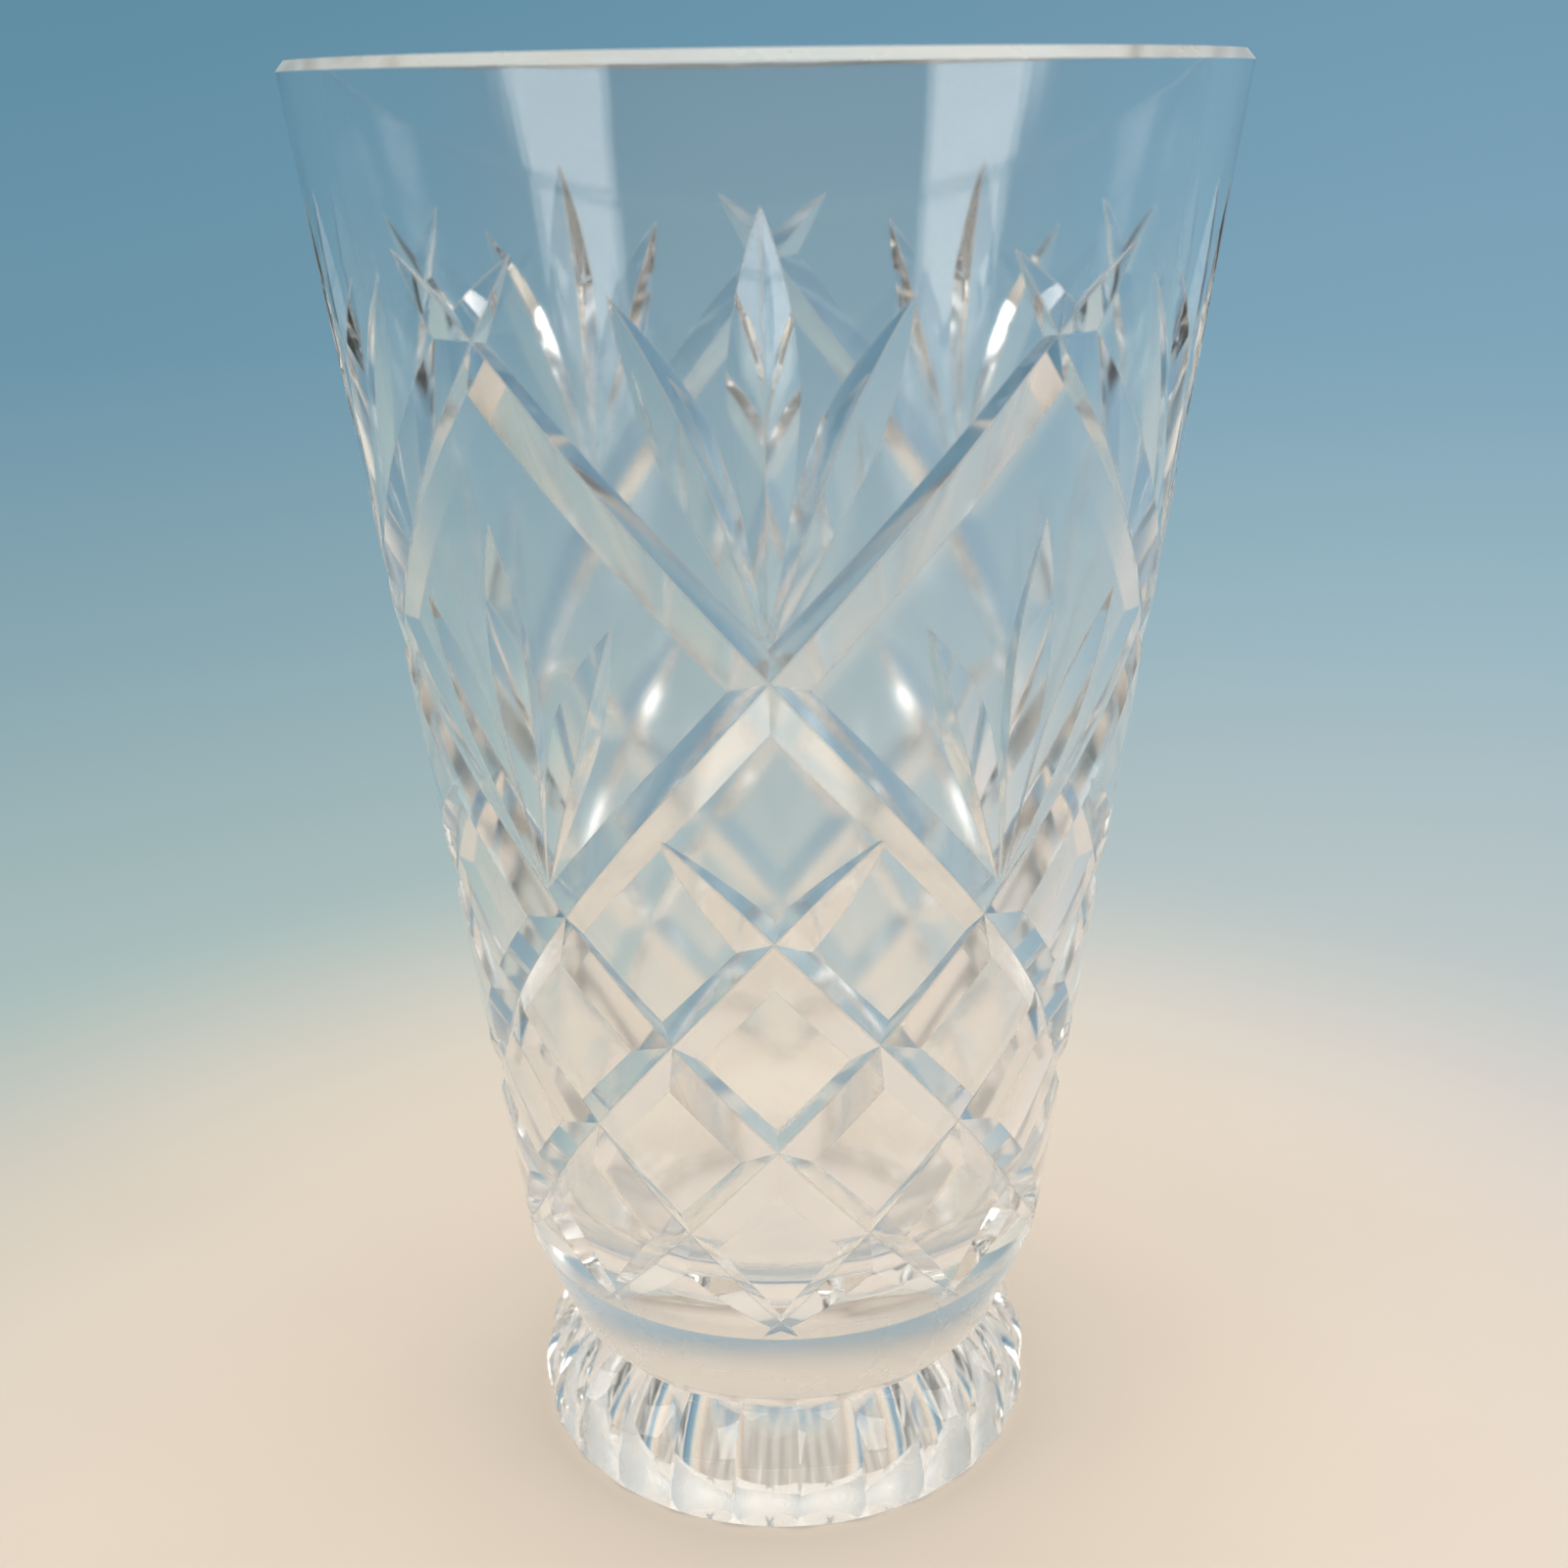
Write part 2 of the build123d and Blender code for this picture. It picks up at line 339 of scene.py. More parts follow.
def bowl_pieces():
    """The uncut bowl: joint, undercut, shoulder, wall, rim, then down the inside to the floor."""
    waist, shoulder = np.array([R_WAIST, Z_WAIST]), np.array([R_SHOULDER, Z_SHOULDER])
    wall_top = np.array([wall_r(HEIGHT - RIM_CHAMFER), HEIGHT - RIM_CHAMFER])
    arc, arc_normals = shoulder_fillet(waist, shoulder, wall_top)
    r_mouth = wall_r(HEIGHT) - WALL_RIM
    rim = [wall_top, (R_RIM - RIM_CHAMFER, HEIGHT), (r_mouth + RIM_INNER_CHAMFER, HEIGHT),
           (r_mouth, HEIGHT - RIM_INNER_CHAMFER)]
    inner_low = (wall_r(Z_ROUND) - WALL_LOW, Z_ROUND)
    floor_edge, floor_mid = (R_FLOOR, Z_FLOOR + FLOOR_DISH), (0.0, Z_FLOOR)
    pieces = [
        ([(0.0, Z_WAIST), (R_WAIST, Z_WAIST)], [(0, -1), (0, -1)], M_JOIN),
        line_piece(waist, arc[0], 8, M_WALL),
        (arc, arc_normals, M_WALL),
        line_piece(arc[-1], wall_top, 84, M_WALL),
    ]
    pieces += [line_piece(start, end, 1, M_RIM) for start, end in zip(rim, rim[1:])]
    pieces.append(line_piece(rim[-1], inner_low, 40, M_INNER))
    # start, end, start pull and end pull as shares of the span, steps
    for start, end, pull0, pull1, steps in (
            (inner_low, floor_edge, (-0.15, -1.0), (-1.0, -0.05), 28),
            (floor_edge, floor_mid, (-1.0, -0.05), (-1.0, 0.0), 10)):
        span = math.dist(start, end)
        points, slopes = hermite(start, end, np.array(pull0) * span, np.array(pull1) * span, steps)
        pieces.append(curve_piece(points, slopes, M_INNER))
    return share_ends(pieces)


def foot_pieces():
    """The unfluted foot: outwards along the underside, then up the side to the joint."""
    joint, neck = (R_WAIST, Z_WAIST), (R_NECK, Z_NECK)
    base_side, base_edge = (R_FOOT_BASE, FOOT_BEVEL), (R_FOOT_BASE - FOOT_BEVEL, 0.0)
    side, side_ways = clamped_spline([neck, FOOT_MID, FOOT_WIDEST, base_side],
                                     first_way=(0.50, -0.85), last_way=(-0.22, -1.0), steps=14)
    ball = (KICK_R ** 2 + KICK_H ** 2) / (2 * KICK_H)       # the hollow is part of a sphere
    ball_z = KICK_H - ball
    kick, kick_normals = [], []
    for i in range(17):
        r = KICK_R * i / 16
        z = ball_z + math.sqrt(ball ** 2 - r * r)
        kick.append((r, 0.0 if i == 16 else z))
        kick_normals.append((-r / ball, -(z - ball_z) / ball))
    return share_ends([
        (kick, kick_normals, M_WALL),
        line_piece((KICK_R, 0.0), base_edge, 3, M_BASE),
        line_piece(base_edge, base_side, 1, M_WALL),
        curve_piece(side[::-1], -side_ways[::-1], M_WALL),
        line_piece(neck, joint, 4, M_WALL),
        ([joint, (0.0, Z_WAIST)], [(0, 1), (0, 1)], M_JOIN),
    ])


# ==================================================================================================
# Cuts. A path is a list of (phi, z, depth) on the bowl's wall.
# ==================================================================================================
def tangents_of(points):
    t = np.empty_like(points)
    t[1:-1] = points[2:] - points[:-2]
    t[0], t[-1] = points[1] - points[0], points[-1] - points[-2]
    return unit(t)


def v_cutter(b, path, turn):
    """Adds one closed V-shaped cutter along a path, turned about Z by turn degrees."""
    stations = np.array(path, float)
    phi = np.radians(stations[:, 0] + turn)
    r = wall_r(stations[:, 1])
    on_wall = np.stack([r * np.sin(phi), -r * np.cos(phi), stations[:, 1]], 1)
    c, s = math.cos(math.atan(SLOPE)), math.sin(math.atan(SLOPE))
    out = np.stack([c * np.sin(phi), -c * np.cos(phi), np.full(len(phi), -s)], 1)
    along = tangents_of(on_wall)
    across = unit(np.cross(out, along))
    out = unit(np.cross(along, across))
    depth = stations[:, 2:3]
    height = CUTTER_RISE + depth
    half_width = height * TAN_V
    valley = on_wall - out * depth
    top = on_wall + out * CUTTER_RISE
    left, right = top + across * half_width, top - across * half_width
    v0, l0, r0 = b.add(valley), b.add(left), b.add(right)

    # the glass's own normal on each side of the cut points into the groove
    def side_normal(edge, slant_way, inward):
        normal = unit(np.cross(tangents_of(edge), slant_way))
        return normal * np.sign(np.sum(normal * inward, axis=1, keepdims=True))

    def side_normals(edge, sign):
        slant_way, inward = edge - valley, out * half_width - across * height * sign
        return side_normal(valley, slant_way, inward), side_normal(edge, slant_way, inward)

    left_low, left_high = side_normals(left, 1)
    right_low, right_high = side_normals(right, -1)
    slant = math.sqrt(1 + TAN_V ** 2)
    g_low = [(0.0, d * slant, 0.0) for d in stations[:, 2]]
    g_top = [((CUTTER_RISE + d) * slant, -CUTTER_RISE * slant, 0.0) for d in stations[:, 2]]
    last = len(stations) - 1
    for i in range(last):
        j = i + 1
        b.face([v0 + i, v0 + j, l0 + j, l0 + i],
               [left_low[i], left_low[j], left_high[j], left_high[i]],
               M_CUT, [g_low[i], g_low[j], g_top[j], g_top[i]])
        b.face([v0 + i, r0 + i, r0 + j, v0 + j],
               [right_low[i], right_high[i], right_high[j], right_low[j]],
               M_CUT, [g_low[i], g_top[i], g_top[j], g_low[j]])
        b.face([l0 + i, l0 + j, r0 + j, r0 + i], [-out[i], -out[j], -out[j], -out[i]], M_CUT)
    b.face([v0, l0, r0], [along[0]] * 3, M_CUT)
    b.face([v0 + last, r0 + last, l0 + last], [-along[-1]] * 3, M_CUT)


def lattice_path(r_start, phi_first, phi_last, run_in):
    """A long cut that winds down the wall, one station per degree, fading out at both ends."""
    def tail(distance, run):
        return (1 - distance / run) ** 2 if distance < run else 0.0

    path = []
    n = int(round(phi_last - phi_first))
    for i in range(n + 1):
        phi = phi_first + (phi_last - phi_first) * i / n
        low_tail = tail(phi_last - phi, RUN_OUT)
        fade = max(tail(phi - phi_first, run_in), low_tail)
        z = wall_z(r_start * math.exp(-HELIX * math.radians(phi))) + LIFT * low_tail
        path.append((phi, z, CUT_DEPTH - (CUT_DEPTH - TIP_DEPTH) * fade))
    return path


def leaf_path(phi0, z0, phi1, z1, depth, bow=0.0):
    """A pointed cut, deepest and widest part of the way up."""
    path = []
    for i in range(LEAF_STEPS + 1):
        t = -LEAF_OVERRUN + (1 + 2 * LEAF_OVERRUN) * i / LEAF_STEPS
        phi = phi0 + (phi1 - phi0) * (t + bow * 4 * t * (1 - t))
        above = t > LEAF_WIDEST
        u = (t - LEAF_WIDEST) / ((1 - LEAF_WIDEST) if above else LEAF_WIDEST)
        power = 1.75 if above else 1.55
        path.append((phi, z0 + (z1 - z0) * t, max(depth * (1 - abs(u) ** power), LEAF_MIN_DEPTH)))
    return path


def fan_paths(phi, z_base, length, side_rise, depth):
    """Three leaves from one base: an upright one and one leaning to each side."""
    paths = [leaf_path(phi, z_base, phi, z_base + length, depth)]
    for side in (-1, 1):
        paths.append(leaf_path(phi + side * FAN_SIDE_PHI, z_base - FAN_SIDE_DROP,
                               phi + side * FAN_TILT, z_base + side_rise,
                               depth * FAN_SIDE_DEPTH, bow=FAN_SIDE_BOW))
    return paths


def bowl_paths():
    paths = []
    for row in LATTICE_CUTS:
        path = lattice_path(*row)
        paths += [path, [(-phi, z, depth) for phi, z, depth in path]]
    for row in FANS:
        paths += fan_paths(*row)
    return paths


def flute_hubs():
    """Hub path of the flute wheel, up the side and then round the bend: (r, z, lean)."""
    hubs = [(FLUTE_IN + FLUTE_R, z, 0.0) for z in np.linspace(-3.0, FLUTE_BEND_Z, 5)[:-1]]
    reach = FLUTE_BEND + FLUTE_R
    for lean in np.radians(np.linspace(0.0, 56.0, 36)):
        hubs.append((FLUTE_IN - FLUTE_BEND + reach * math.cos(lean),
                     FLUTE_BEND_Z + reach * math.sin(lean), lean))
    return hubs


def flute_cutter(b, phi):
    """One flute: the wheel swept along its path, as a closed tube with a fine inner side."""
    fine = [180 + a for a in np.arange(-FLUTE_HALF_ARC, FLUTE_HALF_ARC + 0.1, 0.8)]
    coarse = [180 + FLUTE_HALF_ARC + a for a in (40, 90, 146, 202, 252)]
    psi = np.array([math.radians(a) for a in fine + coarse])
    m = len(psi)
    a = math.radians(phi)
    outward = np.array([math.sin(a), -math.cos(a), 0.0])
    sideways = np.array([math.cos(a), math.sin(a), 0.0])
    up = np.array([0.0, 0.0, 1.0])
    base, normals = [], []
    for hub_r, hub_z, lean in flute_hubs():
        leaning = outward * math.cos(lean) + up * math.sin(lean)
        centre = outward * hub_r + up * hub_z
        ring = centre + FLUTE_R * (np.cos(psi)[:, None] * leaning
                                   + np.sin(psi)[:, None] * sideways)
        base.append(b.add(ring))
        normals.append(unit(centre - ring))
    for i in range(len(base) - 1):
        for j in range(m):
            k = (j + 1) % m
            b.face([base[i] + j, base[i] + k, base[i + 1] + k, base[i + 1] + j],
                   [normals[i][j], normals[i][k], normals[i + 1][k], normals[i + 1][j]], M_CUT)
    b.face([base[0] + j for j in range(m)], [-up] * m, M_CUT)
    b.face([base[-1] + j for j in range(m)][::-1], [up] * m, M_CUT)


def make_bowl(materials):
    bowl = make_object(revolve(bowl_pieces()), "vase_bowl", materials)
    for i, path in enumerate(bowl_paths()):
        b = Builder()
        for k in range(N_REPEAT):
            v_cutter(b, path, 360.0 / N_REPEAT * k)
        cut(bowl, make_object(b, f"cutter_{i}", materials))
    finish_mesh(bowl)
    return bowl


def make_foot(materials):
    foot = make_object(revolve(foot_pieces()), "vase_foot", materials)
    # neighbouring flutes overlap, so each pass cuts every fifth one
    for first in range(FLUTE_GROUPS):
        b = Builder()
        for k in range(first, N_FLUTE, FLUTE_GROUPS):
            flute_cutter(b, FLUTE_PHASE + 360.0 / N_FLUTE * (k + 0.5))
        cut(foot, make_object(b, f"wheel_{first}", materials))
    finish_mesh(foot)
    return foot


# ==================================================================================================
# Materials, all procedural, in object space metres
# ==================================================================================================
def srgb(*color):
    out = []
    for v in color:
        v = v / 255.0
        out.append(v / 12.92 if v <= 0.04045 else ((v + 0.055) / 1.055) ** 2.4)
    return tuple(out) + (1.0,)


class Nodes:
    """Short ways to add shader nodes. Any input may be a value or another node's output."""

    def __init__(self, tree):
        self.tree = tree
        self.x = 0
        tree.nodes.clear()

    def new(self, kind, inputs=None, **settings):
        node = self.tree.nodes.new(kind)
        node.location = (self.x, 0)
        self.x += 180
        for key, value in settings.items():
            setattr(node, key, value)
        for key, value in (inputs or {}).items():
            if isinstance(value, bpy.types.NodeSocket):
                self.tree.links.new(value, node.inputs[key])
            else:
                node.inputs[key].default_value = value
        return node

    def math(self, op, a, b=None, clamp=False):
        inputs = {0: a} if b is None else {0: a, 1: b}
        return self.new("ShaderNodeMath", inputs, operation=op, use_clamp=clamp).outputs[0]

    def step(self, value, start, end, low=0.0, high=1.0):
        """Smooth step from low to high as value goes from start to end."""
        inputs = {"Value": value, "From Min": start, "From Max": end,
                  "To Min": low, "To Max": high}
        return self.new("ShaderNodeMapRange", inputs, interpolation_type="SMOOTHSTEP").outputs[0]

    def mix(self, factor, a, b):
        return self.new("ShaderNodeMix", {0: factor, 6: a, 7: b}, data_type="RGBA").outputs[2]

    def mix_shader(self, factor, a, b):
        return self.new("ShaderNodeMixShader", {0: factor, 1: a, 2: b}).outputs[0]

    def shader(self, kind, color):
        return self.new("ShaderNode" + kind, {"Color": color}).outputs[0]

    def noise(self, vector, scale, detail, distortion=0.0):
        inputs = {"Scale": scale, "Detail": detail, "Distortion": distortion, "Vector": vector}
        return self.new("ShaderNodeTexNoise", inputs).outputs["Fac"]

    def split(self, vector):
        return self.new("ShaderNodeSeparateXYZ", {0: vector}).outputs

    def object_coords(self):
        return self.new("ShaderNodeTexCoord").outputs["Object"]

    def ramp(self, factor, stops):
        node = self.new("ShaderNodeValToRGB", {0: factor})
        node.color_ramp.interpolation = "LINEAR"
        elements = node.color_ramp.elements
        elements[0].position, elements[0].color = stops[0]
        elements[1].position, elements[1].color = stops[-1]
        for position, color in stops[1:-1]:
            elements.new(position).color = color
        return node.outputs[0]


def new_material(name):
    material = bpy.data.materials.new(name)
    material.use_nodes = True
    return material, Nodes(material.node_tree)


IOR = 1.545                                 # full lead crystal
GLASS_TINT = (0.990, 0.994, 0.992, 1.0)
SHADOW_TINT = (0.988, 0.990, 0.990, 1.0)    # what the glass lets through to its shadow
# pale colour of the painted highlights along the cut edges
EDGE_HIGHLIGHT_COLOR = (0.90, 0.92, 0.93, 1.0)
HIGHLIGHT_VALLEY, HIGHLIGHT_CREST = 0.42, 0.55        # strength of the painted edge highlights
GROUND_COLOR = (0.93, 0.93, 0.92, 1.0)
SATIN_ROUGHNESS = 0.27                      # added round the undercut


def painted_edge_highlights(g, surface, smear):
    """A thin pale line along the crest and the valley of each cut: a painted highlight in place of
    the light caught by the slightly rounded edges.
    """
    groove = g.new("ShaderNodeAttribute", attribute_name="groove").outputs["Vector"]
    from_edge = g.split(groove)
    width = g.step(smear, start=0.30, end=0.65, low=0.28, high=0.52)     # mm

    def line(distance):
        share = g.math("DIVIDE", g.math("ABSOLUTE", distance), width)
        return g.math("SUBTRACT", 1.0, share, clamp=True)

    valley, crest = line(from_edge[0]), line(from_edge[1])
    factor = g.math("ADD", g.math("MULTIPLY", valley, HIGHLIGHT_VALLEY),
                    g.math("MULTIPLY", crest, HIGHLIGHT_CREST), clamp=True)
    # painted highlight: a pale matt and translucent shader laid along the cut edges
    painted_highlight = g.shader("BsdfDiffuse", EDGE_HIGHLIGHT_COLOR)
    through = g.shader("BsdfTranslucent", EDGE_HIGHLIGHT_COLOR)
    return g.mix_shader(factor, surface, g.mix_shader(0.5, painted_highlight, through))


def crystal(name, roughness, wave, ripple, lines=False, haze=None, low=False, matt=0.0):
    """Clear crystal with slow waves, a finer ripple and faint smears in the gloss.

    roughness: least and greatest. wave, ripple: (length in mm, height in micrometres).
    lines: painted highlights along the cuts. haze: roughness added inside, (low down, high up).
    low: a band of added roughness round the undercut. matt: share of ground surface.
    """
    material, g = new_material(name)
    coords = g.object_coords()
    slow = g.noise(coords, scale=1000.0 / wave[0], detail=1.0)
    fine = g.noise(coords, scale=1000.0 / ripple[0], detail=2.0)
    smear = g.noise(coords, scale=38.0, detail=4.0, distortion=0.8)
    rough = g.step(smear, start=0.42, end=0.72, low=roughness[0], high=roughness[1])
    if haze:
        z = g.split(coords)[2]
        added = g.step(z, start=0.185, end=0.225, low=haze[0], high=haze[1])
        rough = g.math("ADD", rough, added)
    if low:
        z = g.split(coords)[2]
        band = g.math("MULTIPLY", g.step(z, start=0.0240, end=0.0262),
                      g.step(z, start=0.0455, end=0.0490, low=1.0, high=0.0))
        rough = g.math("ADD", rough, g.math("MULTIPLY", band, SATIN_ROUGHNESS))
    waves = g.new("ShaderNodeBump", {"Strength": 1.0, "Distance": wave[1] * 1e-6,
                                     "Height": slow})
    bumps = g.new("ShaderNodeBump", {"Strength": 1.0, "Distance": ripple[1] * 1e-6,
                                     "Height": fine, "Normal": waves.outputs["Normal"]})
    surface = g.new("ShaderNodeBsdfPrincipled", {
        "Transmission Weight": 1.0, "IOR": IOR, "Base Color": GLASS_TINT,
        "Roughness": rough, "Normal": bumps.outputs["Normal"]}).outputs[0]
    if lines:
        # painted highlights along the crests and valleys of the cuts
        surface = painted_edge_highlights(g, surface, smear)
    if matt > 0:
        ground = g.shader("BsdfDiffuse", GROUND_COLOR)
        share = g.step(smear, start=0.35, end=0.65, low=matt * 0.8, high=matt * 1.2)
        surface = g.mix_shader(share, surface, ground)
    # shadow rays pass straight through
    clear = g.shader("BsdfTransparent", SHADOW_TINT)
    is_shadow = g.new("ShaderNodeLightPath").outputs["Is Shadow Ray"]
    g.new("ShaderNodeOutputMaterial", {"Surface": g.mix_shader(is_shadow, surface, clear)})
    return material


def join_material():
    """The joint between bowl and foot: it does not bend light, and only carries tiny seeds."""
    material, g = new_material("crystal_join")
    seeds = g.new("ShaderNodeTexVoronoi", {"Scale": 260.0, "Vector": g.object_coords()})
    between = g.step(seeds.outputs["Distance"], start=0.03, end=0.07)
    seed_color, clear_color = (0.93, 0.94, 0.94, 1.0), (0.998, 0.998, 0.998, 1.0)
    clear = g.shader("BsdfTransparent", g.mix(between, seed_color, clear_color))
    g.new("ShaderNodeOutputMaterial", {"Surface": clear})
    return material


# in the order of the material slots
glass = [
    crystal("crystal_wall", roughness=(0.0, 0.012), wave=(26.0, 26.0), ripple=(7.0, 1.2),
            low=True),
    join_material(),
    crystal("crystal_cut", roughness=(0.0, 0.020), wave=(9.0, 14.0), ripple=(2.6, 1.3),
            lines=True, low=True),
    crystal("crystal_rim", roughness=(0.22, 0.36), wave=(12.0, 10.0), ripple=(2.0, 1.0),
            matt=0.34),
    crystal("crystal_inner", roughness=(0.0, 0.020), wave=(16.0, 60.0), ripple=(6.0, 3.0),
            haze=(0.13, 0.05)),
    crystal("crystal_base", roughness=(0.01, 0.07), wave=(12.0, 8.0), ripple=(1.2, 2.0)),
]

bowl = make_bowl(glass)
foot = make_foot(glass)
for ob, node, slot_name in ((bowl, "bowl", "crystal"), (foot, "foot", "crystal_foot")):
    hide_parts(node)
    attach(ob, "root")

# ==================================================================================================
# Surroundings, metres and degrees
# ==================================================================================================
scene = bpy.context.scene

CAM_DIST, CAM_HEIGHT = 326.3 * MM, 249.4 * MM
# pitch down, yaw to the right, roll, and the camera's turn about the vase
PITCH, YAW, ROLL, TURN = (math.radians(v) for v in (20.31, 0.236, -0.78, 0.78))
CAM_AT = Vector((CAM_DIST * math.sin(TURN), -CAM_DIST * math.cos(TURN), CAM_HEIGHT))

EL_MIN, EL_MAX = -90.0, 90.0
# (degrees above the horizon, colour) of the paper on the left and the right: cream, then blue,
# and the pale room over it; the right side is a little paler
LEFT = [
    (-90, (225, 212, 196)), (-38, (220, 208, 192)), (-30, (200, 200, 190)),
    (-24, (170, 190, 188)), (-15, (138, 168, 178)), (-7, (110, 150, 170)),
    (3, (95, 140, 162)), (10, (92, 136, 160)), (18, (120, 146, 160)),
    (30, (206, 200, 190)), (50, (236, 228, 214)), (90, (242, 235, 222))]
RIGHT = [
    (-90, (233, 221, 210)), (-38, (229, 217, 208)), (-30, (218, 212, 208)),
    (-24, (190, 200, 200)), (-15, (156, 184, 195)), (-7, (128, 166, 186)),
    (3, (114, 154, 178)), (10, (110, 150, 175)), (18, (132, 156, 170)),
    (30, (210, 204, 194)), (50, (236, 228, 214)), (90, (242, 235, 222))]
# the room behind the camera: cream floor, dim wall, pale ceiling
ROOM = [
    (-90, (230, 218, 203)), (-42, (228, 216, 201)), (-30, (222, 210, 194)),
    (-18, (190, 176, 158)), (-6, (132, 118, 104)), (4, (98, 93, 88)),
    (32, (122, 120, 116)), (55, (206, 200, 190)), (90, (242, 235, 222))]
# two windows, then two pieces of dark wood:
# azimuth from, to, elevation from, to, softness, colour, strength
PATCHES = [
    (95, 131, 2, 34, 1.2, (1.0, 0.975, 0.925), 3.3),
    (-131.5, -92, 2, 34, 1.2, (1.0, 0.965, 0.90), 3.6),
    (82, 114, -20, -4, 2.5, (0.10, 0.058, 0.034), 1.0),
    (-118, -86, -19, -4, 2.5, (0.10, 0.058, 0.034), 1.0)]


def surroundings(g, direction, patches):
    """Colour of the surroundings along a unit direction, with the given patches over it."""
    x, y, z = g.split(direction)
    elevation = g.math("MULTIPLY", g.math("ARCSINE", z), 180 / math.pi)
    # 0 behind the vase (+Y), positive to the right (+X)
    azimuth = g.math("MULTIPLY", g.math("ARCTAN2", x, y), 180 / math.pi)
    share = g.math("DIVIDE", g.math("SUBTRACT", elevation, EL_MIN), EL_MAX - EL_MIN)

    def graded(table):
        return g.ramp(share, [((el - EL_MIN) / (EL_MAX - EL_MIN), srgb(*c)) for el, c in table])

    def off_axis(start, end):
        return g.step(g.math("ABSOLUTE", azimuth), start=start, end=end)

    left, right = graded(LEFT), graded(RIGHT)
    back = g.mix(g.step(azimuth, start=-26.0, end=26.0), left, right)
    room = graded(ROOM)
    color = g.mix(off_axis(start=70.0, end=115.0), back, room)
    for az0, az1, el0, el1, soft, rgb, strength in patches:
        inside = g.math("MULTIPLY", g.step(azimuth, az0 - soft, az0 + soft),
                        g.step(azimuth, az1 - soft, az1 + soft, low=1.0, high=0.0))
        inside = g.math("MULTIPLY", inside, g.step(elevation, el0 - soft, el0 + soft))
        inside = g.math("MULTIPLY", inside,
                        g.step(elevation, el1 - soft, el1 + soft, low=1.0, high=0.0))
        color = g.mix(inside, color, tuple(v * strength for v in rgb) + (1.0,))
    # seen directly, or straight through the glass, it is the plain paper all round
    ray = g.new("ShaderNodeLightPath").outputs
    straight = g.math("MULTIPLY", g.math("LESS_THAN", ray["Glossy Depth"], 0.5),
                      g.math("LESS_THAN", ray["Diffuse Depth"], 0.5))
    straight = g.math("MAXIMUM", ray["Is Camera Ray"],
                      g.math("MULTIPLY", ray["Is Transmission Ray"], straight))
    average = g.mix(0.5, left, right)
    plain = g.mix(off_axis(start=60.0, end=150.0), back, average)
    return g.mix(straight, color, plain)


# ---- paper ---------------------------------------------------------------------------------------
PAPER_SEGMENTS = 144
PAPER_Z = -0.0002
FLAT_RINGS = [0.03, 0.06, 0.10, 0.15, 0.2, 0.3, 0.4, 0.5, 0.6, 0.7, 0.8, 0.9]
SWEEP_DEPTH, SWEEP_RISE = 0.4, 0.3          # the curved part behind the vase
SWEEP_SHARE = 0.6                           # its share of the rings beyond the flat part
UPRIGHT_RISE = 0.35                         # the straight part over it
FLAT_RUN = 0.6                              # the paper's further run where it stays flat
FLAT_AZIMUTH, FLATTEN_OVER = 118, 26        # it is flat beyond this azimuth; blend width


def paper_ring(s):
    """(r, z) round the outer paper, s from 0 at the flat part's edge to 1 at the paper's edge."""
    ring = []
    bend = min(s / SWEEP_SHARE, 1) * math.pi / 2
    r_up = FLAT_RINGS[-1] + SWEEP_DEPTH * math.sin(bend)
    z_up = SWEEP_RISE * (1 - math.cos(bend))
    if s > SWEEP_SHARE:
        z_up += UPRIGHT_RISE * (s - SWEEP_SHARE) / (1 - SWEEP_SHARE)
    r_flat = FLAT_RINGS[-1] + FLAT_RUN * s
    for j in range(PAPER_SEGMENTS):
        azimuth = abs((j * 360.0 / PAPER_SEGMENTS + 180) % 360 - 180)
        up = min(max((FLAT_AZIMUTH - azimuth) / FLATTEN_OVER, 0), 1)
        up = up * up * (3 - 2 * up)
        ring.append((r_up * up + r_flat * (1 - up), z_up * up))
    return ring


def paper_mesh():
    """One sheet: flat under the vase, swept up behind it."""
    n = PAPER_SEGMENTS
    rings = [[(r, 0.0)] * n for r in FLAT_RINGS]
    rings += [paper_ring(s) for s in np.linspace(0, 1, 17)[1:]]
    verts = [(0.0, 0.0, PAPER_Z)]
    for ring in rings:
        for j, (r, z) in enumerate(ring):
            a = math.radians(j * 360.0 / n)
            verts.append((r * math.sin(a), r * math.cos(a), z + PAPER_Z))
    faces = [(0, 1 + (j + 1) % n, 1 + j) for j in range(n)]
    for i in range(len(rings) - 1):
        inner, outer = 1 + i * n, 1 + (i + 1) * n
        for j in range(n):
            k = (j + 1) % n
            faces.append((inner + j, inner + k, outer + k, outer + j))
    mesh = bpy.data.meshes.new("paper")
    mesh.from_pydata(verts, [], faces)
    mesh.polygons.foreach_set("use_smooth", np.ones(len(faces), bool))
    return mesh


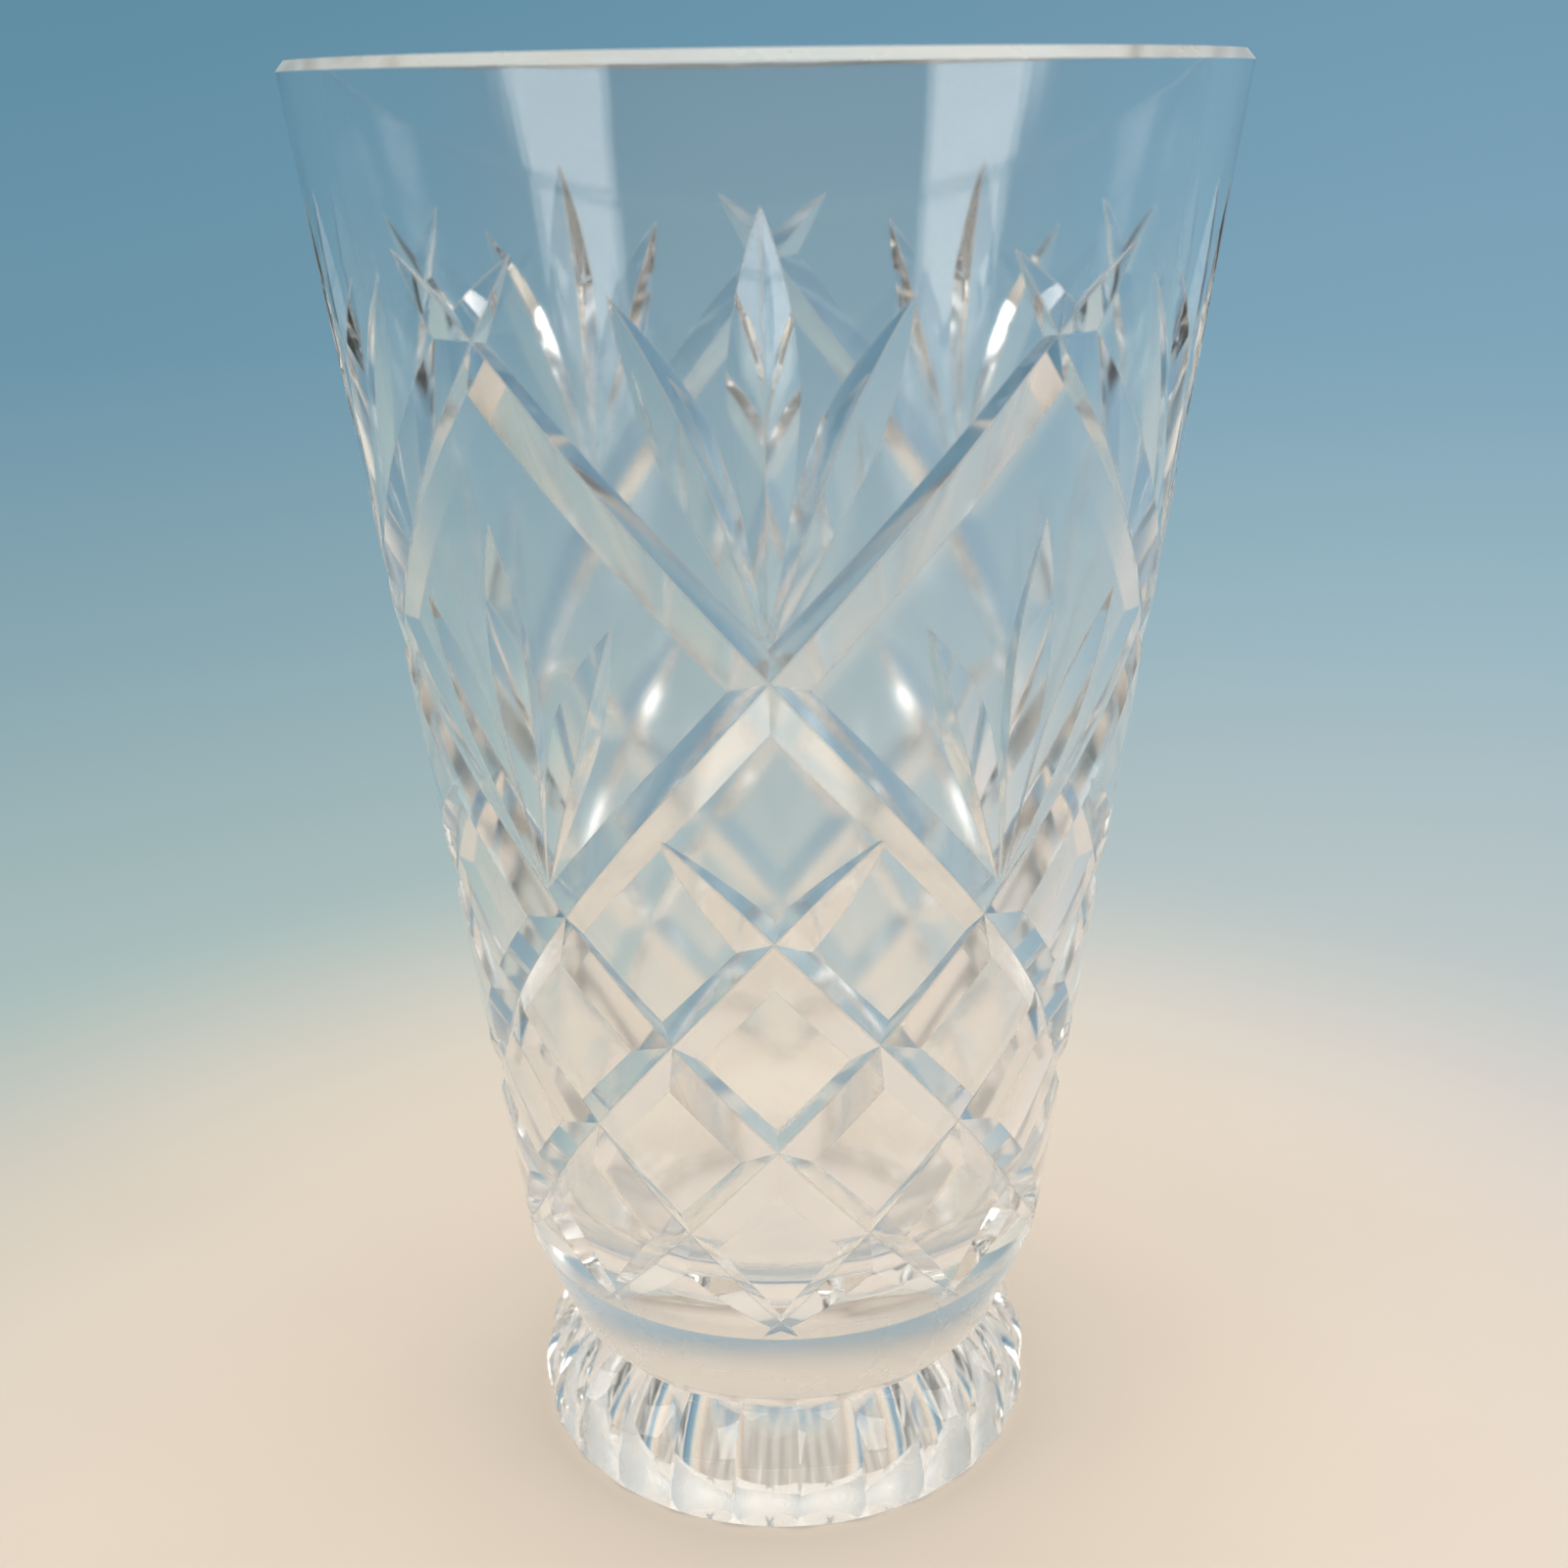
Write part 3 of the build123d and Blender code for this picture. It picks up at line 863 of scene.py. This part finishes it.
def paper_material():
    """Lit paper near the vase, with painted light under the foot; further out the paper is an
    emission in the colour graded for the camera, painted light in place of lit paper.
    """
    material, g = new_material("floor_paper")
    material.cycles.emission_sampling = "NONE"
    coords = g.object_coords()
    x, y, z = g.split(coords)
    radius = g.math("SQRT", g.math("ADD", g.math("POWER", x, 2.0), g.math("POWER", y, 2.0)))
    away = g.new("ShaderNodeVectorMath", {0: coords, 1: CAM_AT}, operation="SUBTRACT")
    sight = g.new("ShaderNodeVectorMath", {0: away.outputs[0]}, operation="NORMALIZE")
    graded = surroundings(g, sight.outputs[0], patches=[])
    grain = g.noise(coords, scale=14.0, detail=3.0)
    dark_grain, pale_grain = (0.835, 0.740, 0.648, 1.0), (0.855, 0.760, 0.666, 1.0)
    paper = g.mix(g.step(grain, start=0.3, end=0.7), dark_grain, pale_grain)
    # painted pool of light: the paper under the foot is made emissive, in place of the light the
    # glass gathers there
    painted_light_under_foot = g.step(radius, start=0.040, end=0.051, low=0.55, high=0.0)
    lit = g.new("ShaderNodeBsdfPrincipled", {
        "Roughness": 0.75, "Specular IOR Level": 0.15, "Base Color": paper,
        "Emission Color": paper, "Emission Strength": painted_light_under_foot}).outputs[0]
    # painted light: beyond the vase the paper is an emission in the graded colour, not lit paper
    painted_paper_glow = g.shader("Emission", graded)
    sheet = g.mix_shader(g.step(radius, start=0.07, end=0.30), lit, painted_paper_glow)
    # the sheet fades out towards its edges
    clear = g.new("ShaderNodeBsdfTransparent").outputs[0]
    edge = g.math("MAXIMUM", g.step(radius, start=1.32, end=1.5),
                  g.step(z, start=0.45, end=0.64))
    g.new("ShaderNodeOutputMaterial", {"Surface": g.mix_shader(edge, sheet, clear)})
    return material


paper_ob = bpy.data.objects.new("floor_paper", paper_mesh())
scene.collection.objects.link(paper_ob)
paper_ob.data.materials.append(paper_material())


# ---- the room, as the world ------------------------------------------------------------------------
def make_world():
    world = bpy.data.worlds.new("studio")
    scene.world = world
    world.use_nodes = True
    g = Nodes(world.node_tree)
    direction = g.new("ShaderNodeTexCoord").outputs["Generated"]
    color = surroundings(g, direction, PATCHES)
    background = g.new("ShaderNodeBackground", {"Color": color, "Strength": 1.0})
    g.new("ShaderNodeOutputWorld", {"Surface": background.outputs[0]})
    world.cycles.sampling_method = "MANUAL"
    world.cycles.sample_map_resolution = 1024


def make_overhead_light():
    """A large soft light over the vase that is not seen through the glass."""
    at, target = Vector((0.15, -0.1, 1.35)), Vector((0, 0, 0.1))
    light = bpy.data.lights.new("overhead", "AREA")
    light.shape = "RECTANGLE"
    light.size = light.size_y = 1.3
    light.energy = 8.0
    light.color = (1.0, 0.965, 0.91)
    ob = bpy.data.objects.new("overhead", light)
    ob.location = at
    ob.rotation_euler = (target - at).to_track_quat("-Z", "Y").to_euler()
    scene.collection.objects.link(ob)
    ob.visible_transmission = False


def make_camera():
    """A camera in front of the vase, close to it and looking down."""
    forward = np.array([math.sin(YAW) * math.cos(PITCH), math.cos(YAW) * math.cos(PITCH),
                        -math.sin(PITCH)])
    level = np.array([math.cos(YAW), -math.sin(YAW), 0.0])
    upright = np.cross(level, forward)
    right = level * math.cos(ROLL) + upright * math.sin(ROLL)
    up = -level * math.sin(ROLL) + upright * math.cos(ROLL)
    data = bpy.data.cameras.new("camera")
    data.sensor_width = 36.0
    data.lens = 43.267275
    data.dof.use_dof = True
    data.dof.focus_distance = 0.320
    data.dof.aperture_fstop = 19.0
    data.clip_start = 0.01
    data.clip_end = 50.0
    camera = bpy.data.objects.new("camera", data)
    scene.collection.objects.link(camera)
    place = (0.0, -CAM_DIST, CAM_HEIGHT)
    rows = [(right[i], up[i], -forward[i], place[i]) for i in range(3)]
    camera.matrix_world = Matrix.Rotation(TURN, 4, "Z") @ Matrix(rows + [(0, 0, 0, 1)])
    scene.camera = camera


make_world()
make_overhead_light()
make_camera()

# ---- render settings -------------------------------------------------------------------------------
scene.view_settings.view_transform = "Standard"
scene.view_settings.look = "None"
cycles = scene.cycles
cycles.max_bounces = 28
cycles.transmission_bounces = 26
cycles.glossy_bounces = 10
cycles.diffuse_bounces = 3
cycles.transparent_max_bounces = 32
cycles.caustics_refractive = False
cycles.caustics_reflective = False
cycles.sample_clamp_indirect = 6.0
